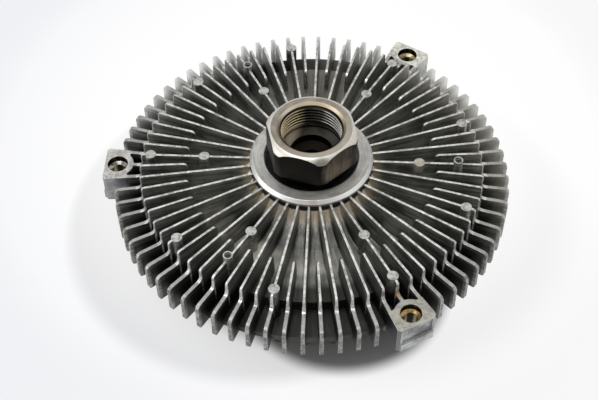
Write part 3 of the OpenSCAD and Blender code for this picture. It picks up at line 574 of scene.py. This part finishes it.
def shaftSteel():
    f = Finish("shaftSteel").place()
    look = shaftLook
    film = f.noise(f.spot, **look["film"])
    cloud = f.noise(f.spot, **look["cloud"])
    fine = f.noise(f.spot, **look["fine"])
    drawn = f.noise(f.stretch(f.spot, look["drawnStretch"]), **look["drawn"])  # marks along the flanks
    lathe = f.noise(f.around(look["latheStretch"]), **look["lathe"])
    face = f.rise(f.facing, *look["faceFacing"])
    crown = f.rise(f.radius, *look["crownStart"]) * f.rise(f.facing, *look["crownFacing"])
    crown = crown * f.rise(f.height, *look["crownHeight"])
    mouth = f.band(f.radius, *look["mouthBand"], look["mouthSoft"])
    mouth = mouth * f.rise(f.height, *look["mouthHeight"])
    inside = 1 - f.rise(f.radius, *look["boreRadius"])
    # Painted shade and oil deep in the bore
    deep = 1 - f.rise(f.height, *look["deepHeight"])
    wearAndHighlight = f.edgeMask(look["edge"]) * (1 - inside) * (0.3 + 0.8 * film)
    # Painted sheen on the flanks, streaked along them, strongest toward the front right
    awayFromSheen = f.rise(f.away(look["sheenSpot"]), *look["sheenReach"])
    flankSheen = f.rise(0.35 * drawn + 0.65 * cloud - 0.4 * awayFromSheen, *look["sheenRange"])
    colour = f.blend(flankSheen, look["flank"], look["flankPale"])
    cut = f.rise(0.6 * lathe + 0.4 * film, *look["latheRange"])
    turned = f.blend(cut, look["face"], look["facePale"])
    # Painted light on the top face toward the front right
    frontRight = f.rise(f.dot(look["litWay"]), *look["litReach"])
    turned = f.blend(frontRight * (0.2 + 0.7 * cloud), turned, look["faceLit"])
    colour = f.blend(face, colour, turned)
    colour = f.blend(crown * (0.6 + 0.6 * fine), colour, look["crown"])
    # Painted shade on the crown's front lobe
    lobe = 1 - f.rise(f.away(look["lobeSpot"]), *look["lobeReach"])
    colour = f.blend(0.8 * crown * lobe, colour, look["lobe"])
    # Mouth's chamfer: painted highlight at the back, brassy in places, and painted shade in brown at the
    # front
    back = f.rise(f.dot(backWay), *look["backReach"])
    brass = f.blend(f.rise(cloud, *look["brassRange"]), look["mouthBrass"], look["mouth"])
    colour = f.blend(mouth, colour, f.blend(back, look["mouthBrown"], brass))
    # Edges painted with the crown's colour, as wear and as a painted highlight
    colour = f.blend(wearAndHighlight, colour, look["crown"])
    # Painted reflections in the bore: tan on the left, grey on the right; brown at the lip
    left = f.rise(f.dot(look["tanWay"]), *look["sideReach"])
    right = f.rise(f.dot(look["greyWay"]), *look["sideReach"])
    bore = f.blend(0.6 * f.rise(film, *look["filmRange"]), look["bore"], look["oil"])
    bore = f.blend(left * (0.5 + 0.7 * film), bore, look["boreTan"])
    bore = f.blend(right * (0.4 + 0.5 * film), bore, look["boreGrey"])
    bore = f.blend(0.8 * f.rise(f.height, *look["lipHeight"]), bore, look["mouthBrown"])
    colour = f.blend(inside, colour, f.blend(deep, bore, look["oil"]))
    bump = 0.5 * fine + 0.5 * drawn * (1 - face) + 0.5 * lathe * face
    rough = 0.30 + 0.2 * film + 0.08 * fine
    sockets = {"Base Color": colour, "Metallic": 1.0, "Roughness": rough}
    return f.finishWith(sockets, bump, look["bumpDepth"], look["edge"])


# Plain metals and rubber of the smaller pieces, which share one grain
plainGrain = {
    "cloud": {"scale": 220, "detail": 4, "rough": 0.6},
    "grain": {"scale": 1, "detail": 3, "rough": 0.5},
    "stretch": (300, 2600, 2600),
    "cloudRange": (0.3, 0.75),
    "roughSpread": 0.14,
    "bumpDepth": 0.012 * mm,
    "edge": 0.12 * mm,
}
plainLook = {
    "bearingSteel": {"light": (0.62, 0.62, 0.63), "dark": (0.48, 0.48, 0.5), "metal": 1.0, "rough": 0.22},
    "sheetSteel": {"light": (0.56, 0.53, 0.47), "dark": (0.4, 0.37, 0.32), "metal": 1.0, "rough": 0.38},
    "springSteel": {"light": (0.3, 0.3, 0.32), "dark": (0.18, 0.18, 0.19), "metal": 1.0, "rough": 0.34},
    # Bearing shields painted near black as shade in the gap under the hexagon
    "shieldShade": {
        "light": (0.035, 0.034, 0.032), "dark": (0.015, 0.015, 0.014), "metal": 1.0, "rough": 0.45,
    },
    "turnedAluminium": {
        "light": (0.72, 0.72, 0.72), "dark": (0.58, 0.58, 0.58), "metal": 1.0, "rough": 0.3,
    },
    "sealRubber": {"light": (0.045, 0.045, 0.045), "dark": (0.02, 0.02, 0.02), "metal": 0.0, "rough": 0.6},
    "platedSteel": {"light": (0.66, 0.66, 0.62), "dark": (0.5, 0.49, 0.44), "metal": 1.0, "rough": 0.3},
    "bimetal": {"light": (0.66, 0.6, 0.48), "dark": (0.46, 0.4, 0.3), "metal": 1.0, "rough": 0.32},
}


def plainFinish(name):
    look = plainLook[name]
    f = Finish(name).place()
    cloud = f.noise(f.spot, **plainGrain["cloud"])
    grain = f.noise(f.stretch(f.spot, plainGrain["stretch"]), **plainGrain["grain"])
    colour = f.blend(f.rise(cloud, *plainGrain["cloudRange"]), look["dark"], look["light"])
    sockets = {
        "Base Color": colour,
        "Metallic": look["metal"],
        "Roughness": look["rough"] + plainGrain["roughSpread"] * grain,
    }
    return f.finishWith(sockets, grain, plainGrain["bumpDepth"], plainGrain["edge"])


# Thread flanks: worn steel, dark in the middle, with a painted brassy reflection on the left, a painted
# silver reflection on the right, and roots dark with oil and painted shade
threadLook = {
    "flank": (0.022, 0.020, 0.016),
    "brassy": (0.46, 0.38, 0.23),
    "silver": (0.42, 0.41, 0.38),
    "rootOilAndShade": (0.012, 0.010, 0.008),
    "patchyTone": {"scale": 160, "detail": 3, "rough": 0.5},
    "fine": {"scale": 2200, "detail": 2, "rough": 0.5},
    "crestToRoot": (11.3 * mm, 11.6 * mm),
    "wander": 4 * mm,
    "leftReach": (2 * mm, 7 * mm),
    "rightReach": (3 * mm, 8 * mm),
    "rough": 0.18,
    "roughSpread": 0.16,
    "bumpDepth": 0.01 * mm,
}


def threadSteel():
    f = Finish("threadSteel").place()
    look = threadLook
    patchyTone = f.noise(f.spot, **look["patchyTone"])
    fine = f.noise(f.spot, **look["fine"])
    crest = 1 - f.rise(f.radius, *look["crestToRoot"])
    wander = look["wander"] * (patchyTone - 0.5)
    # Painted reflections: brassy on the left, silver on the right
    left = f.rise(f.dot(leftWay) + wander, *look["leftReach"])
    right = f.rise(f.dot(rightWay) + wander, *look["rightReach"])
    oilAndSheen = f.blend(left, look["flank"], look["brassy"])
    oilAndSheen = f.blend(right, oilAndSheen, look["silver"])
    colour = f.blend(crest, look["rootOilAndShade"], oilAndSheen)
    rough = look["rough"] + look["roughSpread"] * fine
    sockets = {"Base Color": colour, "Metallic": 1.0, "Roughness": rough}
    return f.finishWith(sockets, fine, look["bumpDepth"])


finishes = {name: plainFinish(name) for name in plainLook}
finishes["castAluminium"] = castAluminium()
finishes["shaftSteel"] = shaftSteel()
finishes["threadSteel"] = threadSteel()
nodeFinish = {
    "rear_housing": "castAluminium",
    "front_cover": "castAluminium",
    "input_shaft": "shaftSteel",
    "bearing_outer_ring": "bearingSteel",
    "bearing_inner_ring": "bearingSteel",
    "bearing_balls": "bearingSteel",
    "bearing_cage": "sheetSteel",
    "bearing_shields": "shieldShade",
    "bearing_circlip": "springSteel",
    "rotor_disc": "turnedAluminium",
    "cover_seal": "sealRubber",
    "divider_plate": "sheetSteel",
    "plate_screws": "platedSteel",
    "valve_lever": "springSteel",
    "valve_pivot_pin": "platedSteel",
    "control_pin": "bearingSteel",
    "pin_seal": "sealRubber",
    "bimetal_strip": "bimetal",
    "strip_holders": "sheetSteel",
    "holder_rivets": "platedSteel",
}
for nodeName, finishName in nodeFinish.items():
    mesh = nodes[nodeName].data
    mesh.materials.clear()
    mesh.materials.append(finishes[finishName])
print("finishes on CAD nodes:", len(nodeFinish))


def makePiece(name, points, faces, finish, smooth=True):
    mesh = bpy.data.meshes.new(name)
    mesh.from_pydata([Vector(p) for p in points], [], faces)
    mesh.validate()
    shape = bmesh.new()
    shape.from_mesh(mesh)
    bmesh.ops.recalc_face_normals(shape, faces=shape.faces)
    shape.to_mesh(mesh)
    shape.free()
    for face in mesh.polygons:
        face.use_smooth = smooth
    mesh.materials.append(finishes[finish])
    piece = bpy.data.objects.new(name, mesh)
    scene.collection.objects.link(piece)
    return piece


# Input shaft, whose hexagon has turned-off corners, a rounded crown and a wide mouth
# Bore, neck and seats are pairs of radius and height in mm
hexShaft = {
    "acrossFlats": 32 * mm,
    "flatAngle": math.radians(14.8),
    "cornerRadius": 17.65 * mm,
    "cornerSoft": 0.1 * mm,
    "top": 24.3 * mm,
    "bottom": 10.65 * mm,
    "footChamfer": 0.5 * mm,
    "faceRadius": 15.2 * mm,
    "crownCentre": 13.6 * mm,
    "crownRadius": 4.4 * mm,
    "crownSteps": 8,
    "mouthRadius": 13.0 * mm,
    "threadRadius": 12.0 * mm,
    "drillTip": -3.49 * mm,
    "sharpAngle": math.radians(18),
    "bore": ((4, -1.09), (4, 7.31), (8.2, 7.91), (8.2, 11.11), (11.5, 12.1), (11.5, 13), (12, 13.5)),
    "neck": ((14, 10.65), (14, 7.6), (13.4, 7), (11.35, 7), (11.35, 6.23), (8.47, 6.23)),
    "seats": ((8.47, -5.8), (7.97, -5.8), (7.97, -14.43), (9.4, -14.43), (8.8, -15.2)),
    "end": -15.2 * mm,
    "stepsAround": 360,
}


# Distance from the axis to the hexagon's side, with the corner cut to a cylinder
def hexReach(turn):
    h = hexShaft
    sixth = math.pi / 3
    share = (turn - h["flatAngle"] + sixth / 2) % sixth - sixth / 2
    flat = h["acrossFlats"] / 2 / math.cos(share)
    soft = h["cornerSoft"]
    return -soft * math.log(math.exp(-flat / soft) + math.exp(-h["cornerRadius"] / soft))


# Half section from the drill's tip up the bore, over the top and down the outside
def shaftSection(reach):
    h = hexShaft
    points = [(r * mm, z * mm) for r, z in h["bore"]]
    points.append((h["threadRadius"], h["top"] - (h["mouthRadius"] - h["threadRadius"])))
    points.append((h["mouthRadius"], h["top"]))
    rise = math.sqrt(h["crownRadius"] ** 2 - (h["faceRadius"] - h["crownCentre"]) ** 2)
    for k in range(h["crownSteps"] + 1):
        r = h["faceRadius"] + (reach - h["faceRadius"]) * k / h["crownSteps"]
        drop = rise - math.sqrt(h["crownRadius"] ** 2 - (r - h["crownCentre"]) ** 2)
        points.append((r, h["top"] - drop))
    points.append((reach, h["bottom"] + h["footChamfer"]))
    points.append((reach - h["footChamfer"], h["bottom"]))
    points += [(r * mm, z * mm) for r, z in h["neck"] + h["seats"]]
    return points


def inputShaft():
    h = hexShaft
    around = h["stepsAround"]
    points = [(0, 0, h["drillTip"]), (0, 0, h["end"])]
    first = len(points)
    faces = []
    for i in range(around):
        turn = 2 * math.pi * i / around
        section = shaftSection(hexReach(turn))
        points += [(r * math.cos(turn), r * math.sin(turn), z) for r, z in section]
    count = len(section)
    for i in range(around):
        a, b = first + count * i, first + count * ((i + 1) % around)
        faces.append((0, a, b))
        faces += [(a + k, a + k + 1, b + k + 1, b + k) for k in range(count - 1)]
        faces.append((1, b + count - 1, a + count - 1))
    piece = makePiece("hexInputShaft", points, faces, "shaftSteel")
    piece.data.set_sharp_from_angle(angle=h["sharpAngle"])
    return piece


shaft = inputShaft()
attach(shaft, "input")
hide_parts("input_shaft")
print("input shaft:", len(shaft.data.polygons), "faces")


# Ridge of the internal thread, cut back by the chamfer at its mouth
pumpThread = {
    "pitch": 1.5 * mm,
    "rootRadius": 12.02 * mm,
    "crestRadius": 11.19 * mm,
    "rootWidth": 1.32 * mm,
    "crestWidth": 0.3 * mm,
    "top": 23.8 * mm,
    "bottom": 14.05 * mm,
    "wallTop": 23.25 * mm,
    "mouthRadius": hexShaft["mouthRadius"],
    "mouthTop": hexShaft["top"],
    "stepsPerTurn": 96,
    "fadeSteps": 30,
    "endShare": 0.02,
}


def threadRidge():
    t = pumpThread
    steps = int((t["top"] - t["bottom"]) / t["pitch"] * t["stepsPerTurn"])
    points, faces = [], []
    for i in range(steps + 1):
        angle = 2 * math.pi * i / t["stepsPerTurn"]
        middle = t["bottom"] + t["pitch"] * i / t["stepsPerTurn"]
        atEnd = (steps - i) / t["fadeSteps"] + t["endShare"]
        fade = min(1, i / t["fadeSteps"], atEnd)  # ridge runs out at both ends
        crest = t["rootRadius"] - fade * (t["rootRadius"] - t["crestRadius"])
        section = (
            (t["rootRadius"], -t["rootWidth"] / 2),
            (crest, -t["crestWidth"] / 2),
            (crest, t["crestWidth"] / 2),
            (t["rootRadius"], t["rootWidth"] / 2),
        )
        for radius, offset in section:
            z = middle + offset
            radius = min(t["rootRadius"], max(radius, t["mouthRadius"] - (t["mouthTop"] - z)))
            z = min(z, t["wallTop"])
            points.append((radius * math.cos(angle), radius * math.sin(angle), z))
    count = len(section)
    for i in range(steps):
        for k in range(count):
            a, b = count * i + k, count * i + (k + 1) % count
            faces.append((a, b, b + count, a + count))
    faces.append(tuple(range(count)))
    faces.append(tuple(count * steps + k for k in reversed(range(count))))
    return makePiece("pumpThreadRidge", points, faces, "threadSteel", smooth=False)


ridge = threadRidge()
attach(ridge, "input")
print("thread ridge:", len(ridge.data.polygons), "faces")


# Fillets where the long fins rise from the hub's slope, one closed strip on each side of a fin
finRoots = {
    "fins": 36,
    "start": 23.3 * mm,
    "end": 46.8 * mm,
    "stations": 28,
    "arcSteps": 6,
    "radius": 1.3 * mm,
    "endRadius": 0.5 * mm,
    "runOut": 12,
    "endShare": 0.05,
    "sink": 0.25 * mm,
    "skinSink": 0.01 * mm,
    "finTop": 6.1 * mm,
    "topHalf": 0.425 * mm,
    "draft": math.tan(math.radians(2.4)),
    "slopeCentre": (38.02 * mm, 12.75 * mm),
    "slopeRadius": 17 * mm,
    "slopeStart": 23.6 * mm,
    "floor": -4.2 * mm,
    "sharpAngle": math.radians(35),
}


def slopeHeight(radius):
    r = finRoots
    reach = r["slopeCentre"][0] - max(radius, r["slopeStart"])
    if reach <= 0:
        return r["floor"]
    return max(r["floor"], r["slopeCentre"][1] - math.sqrt(r["slopeRadius"] ** 2 - reach**2))


def finHalf(height):
    r = finRoots
    return r["topHalf"] + r["draft"] * (r["finTop"] - max(height, 0))


# Section of a fillet at one radius, as distances from the fin's middle and heights
def rootSection(radius):
    r = finRoots
    share = (radius - r["start"]) / (r["end"] - r["start"])
    size = r["radius"] + share * (r["endRadius"] - r["radius"])
    size = size * min(1, r["endShare"] + r["runOut"] * (1 - share))
    base = slopeHeight(radius)
    foot = finHalf(base)
    section = []
    for k in range(r["arcSteps"] + 1):
        turn = 0.5 * math.pi * k / r["arcSteps"]
        height = base + size * (1 - math.sin(turn))
        lean = finHalf(height) - foot
        offset = foot + size * (1 - math.cos(turn)) + lean
        section.append((offset - r["skinSink"], height - r["skinSink"]))
    section.append((foot + size, base - r["sink"]))
    section.append((foot - r["sink"], base - r["sink"]))
    section.append((foot - r["sink"], base + size))
    return section


def rootFillets():
    r = finRoots
    points, faces = [], []
    for fin in range(r["fins"]):
        turn = 2 * math.pi * fin / r["fins"]
        outward = (math.cos(turn), math.sin(turn))
        for side in (-1, 1):
            first = len(points)
            for i in range(r["stations"] + 1):
                radius = r["start"] + (r["end"] - r["start"]) * i / r["stations"]
                section = rootSection(radius)
                for offset, height in section:
                    x = radius * outward[0] - side * offset * outward[1]
                    y = radius * outward[1] + side * offset * outward[0]
                    points.append((x, y, height))
            count = len(section)
            for i in range(r["stations"]):
                for k in range(count):
                    a, b = first + count * i + k, first + count * i + (k + 1) % count
                    faces.append((a, b, b + count, a + count))
            faces.append(tuple(first + k for k in range(count)))
            faces.append(tuple(first + count * r["stations"] + k for k in reversed(range(count))))
    piece = makePiece("finRootFillets", points, faces, "castAluminium")
    piece.data.set_sharp_from_angle(angle=r["sharpAngle"])
    return piece


roots = rootFillets()
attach(roots, "housing")
print("fin root fillets:", len(roots.data.polygons), "faces")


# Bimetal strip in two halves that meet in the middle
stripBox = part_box("bimetal_strip")
stripMake = {"steps": 16, "hold": 3.0 * mm, "edge": 0.15 * mm}


def stripHalf(name, side):
    low, high = stripBox
    end, middle = side * high.x, 0.0
    e = stripMake["edge"]
    section = []
    for y, z, dy, dz in (
        (low.y, low.z, e, 0), (high.y, low.z, -e, 0), (high.y, low.z, 0, e), (high.y, high.z, 0, -e),
        (high.y, high.z, -e, 0), (low.y, high.z, e, 0), (low.y, high.z, 0, -e), (low.y, low.z, 0, e),
    ):
        section.append((y + dy, z + dz))
    count = len(section)
    points, faces = [], []
    for i in range(stripMake["steps"] + 1):
        x = end + (middle - end) * i / stripMake["steps"]
        points += [(x, y, z) for y, z in section]
    for i in range(stripMake["steps"]):
        for k in range(count):
            a, b = count * i + k, count * i + (k + 1) % count
            faces.append((a, b, b + count, a + count))
    faces.append(tuple(range(count)))
    last = count * stripMake["steps"]
    faces.append(tuple(last + k for k in reversed(range(count))))
    piece = makePiece(name, points, faces, "bimetal", smooth=False)
    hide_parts("bimetal_strip")
    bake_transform(piece)
    return piece


stripHalf("bimetalHalfLeft", -1)
stripHalf("bimetalHalfRight", 1)
print("bimetal strip halves made")

# Camera at the photograph's angle
cameraView = {
    "place": (11.88 * mm, -305.87 * mm, 354.36 * mm),
    "aim": (-4.78 * mm, -3.25 * mm, -14.77 * mm),
    "lens": 72.774,
    "sensor": 36,
    "roll": -0.633,
    "clip": (0.01, 50),
}
lensData = bpy.data.cameras.new("photoCamera")
lensData.sensor_fit = "HORIZONTAL"
lensData.sensor_width = cameraView["sensor"]
lensData.lens = cameraView["lens"]
lensData.clip_start, lensData.clip_end = cameraView["clip"]
cameraObject = bpy.data.objects.new("photoCamera", lensData)
scene.collection.objects.link(cameraObject)
look = (Vector(cameraView["aim"]) - Vector(cameraView["place"])).normalized()
level = look.cross(Vector((0, 0, 1))).normalized()
upright = level.cross(look)
tilt = math.radians(cameraView["roll"])
sideAxis = math.cos(tilt) * level + math.sin(tilt) * upright
upAxis = -math.sin(tilt) * level + math.cos(tilt) * upright
turned = Matrix((sideAxis, upAxis, -look)).transposed().to_4x4()
cameraObject.matrix_world = Matrix.Translation(cameraView["place"]) @ turned
scene.camera = cameraObject

# Pale table, white surroundings that darken toward the camera's side, and soft lamps
studio = {
    "table": (0.24, 0.242, 0.246),
    "tableSheen": (0.215, 0.22, 0.226),
    "sheen": {"scale": 3, "detail": 2, "rough": 0.5},
    "sheenShare": 0.3,
    "tableHalf": 3.0,
    "coolWhite": (0.92, 0.925, 0.955),
    "plainWhite": (0.985, 0.985, 0.985),
    "coolToPlain": (-0.16, 0.12),
    "fullWhite": (1, 1, 1),
    "whiteUnder": 0.3,
    "whiteFar": 0.935,
    "bright": {"centre": (-0.0075, 0.048, 0), "near": 0.071, "far": 0.152, "gain": 0.30},
    "shades": (
        {"centre": (0, 0, 0), "near": 0.054, "far": 0.067, "depth": 1.0},
        {"centre": (0.0133, -0.0316, 0), "near": 0.0365, "far": 0.0443, "depth": 0.97},
    ),
    "softShades": (
        {"centre": (-0.0216, 0, 0), "near": 0.0725, "far": 0.0827, "depth": 0.267},
        {"centre": (0.0171, 0.0131, 0), "near": 0.075, "far": 0.1008, "depth": 0.173},
    ),
    "worldLight": 0.5,
    "roomSide": (0.22, 0.22, 0.22),
    "darkSide": (0.10, -0.85, 0.52),
    "darkEdge": (0.72, 0.96),
    "lamps": {
        "softTop": {"place": (-0.2, -0.05, 1.15), "size": 0.7, "power": 6.0, "tint": (1, 1, 1)},
        "softLeft": {"place": (-0.8, -0.25, 0.24), "size": 0.5, "power": 1.6, "tint": (1, 1, 1)},
        "warmFront": {"place": (0.12, -0.9, 0.75), "size": 0.45, "power": 0.8, "tint": (1, 0.93, 0.82)},
    },
}
tableTop = cadBox[0][2]
half = studio["tableHalf"]
table = bpy.data.objects.new("table", bpy.data.meshes.new("table"))
table.data.from_pydata(
    [(-half, -half, tableTop), (half, -half, tableTop), (half, half, tableTop), (-half, half, tableTop)],
    [],
    [(0, 1, 2, 3)],
)
scene.collection.objects.link(table)


# Level of white, less inside each round shade
def shaded(f, level, shades):
    for shade in shades:
        outside = f.rise(f.away(shade["centre"], flatShare), shade["near"], shade["far"])
        level = level * (1 - shade["depth"] + shade["depth"] * outside)
    return level


# Matte table, with a white of its own that only the camera and mirror rays meet
def tableWhite():
    f = Finish("tableWhite").place()
    sheen = f.noise(f.spot, **studio["sheen"])
    tone = f.blend(studio["sheenShare"] * sheen, studio["table"], studio["tableSheen"])
    matte = f.add("BsdfDiffuse", {}, {"Color": tone})
    across = f.add("SeparateXYZ", {}, {0: f.spot})
    paper = f.blend(f.rise(across, *studio["coolToPlain"]), studio["coolWhite"], studio["plainWhite"])
    bright = studio["bright"]
    whiter = 1 - f.rise(f.away(bright["centre"], flatShare), bright["near"], bright["far"])
    paper = f.blend(whiter, paper, studio["fullWhite"])
    glow = f.add("Emission", {}, {"Color": paper, "Strength": 1.0})
    inView = f.add("LightPath", {}, {}, "Is Camera Ray")
    mirrored = f.add("LightPath", {}, {}, "Is Glossy Ray")
    own = shaded(f, studio["whiteFar"], studio["shades"])
    seen = shaded(f, own * (1 + bright["gain"] * whiter), studio["softShades"])
    lit = inView * seen + mirrored * own.most(studio["whiteUnder"])
    top = f.add("MixShader", {}, {0: lit, 1: matte, 2: glow})
    below = f.add("NewGeometry", {}, {}, "Backfacing")  # a view from under the table passes through it
    f.show(f.add("MixShader", {}, {0: below, 1: top, 2: f.add("BsdfTransparent")}))
    return f.material


# White behind the part, a dimmer light on it, and a room that it mirrors, dark on the camera's side
def studioRoom():
    world = bpy.data.worlds.new("studioWorld")
    f = Finish("studioWorld", world)
    heading = f.add("TexCoord", {}, {}, "Generated")
    toward = f.reach(heading, studio["darkSide"])
    around = f.blend(f.rise(toward, *studio["darkEdge"]), studio["fullWhite"], studio["roomSide"])
    fullWhite = (*studio["fullWhite"], 1)
    dim = f.add("Background", {}, {"Color": fullWhite, "Strength": studio["worldLight"]})
    room = f.add("Background", {}, {"Color": around, "Strength": 1.0})
    white = f.add("Background", {}, {"Color": fullWhite, "Strength": 1.0})
    through = f.add("LightPath", {}, {}, "Is Transmission Ray")
    mirrored = f.add("LightPath", {}, {}, "Is Glossy Ray").most(through)
    surround = f.add("MixShader", {}, {0: mirrored, 1: dim, 2: room})
    inView = f.add("LightPath", {}, {}, "Is Camera Ray")
    f.show(f.add("MixShader", {}, {0: inView, 1: surround, 2: white}), "OutputWorld")
    return world


table.data.materials.append(tableWhite())
scene.world = studioRoom()
for lampName, lamp in studio["lamps"].items():
    data = bpy.data.lights.new(lampName, "AREA")
    data.energy = lamp["power"]
    data.size = lamp["size"]
    data.color = lamp["tint"]
    lampObject = bpy.data.objects.new(lampName, data)
    lampObject.location = lamp["place"]
    lampObject.rotation_euler = (-Vector(lamp["place"])).to_track_quat("-Z", "Y").to_euler()
    scene.collection.objects.link(lampObject)
scene.view_settings.view_transform = "Standard"
print("camera, table and lamps set")
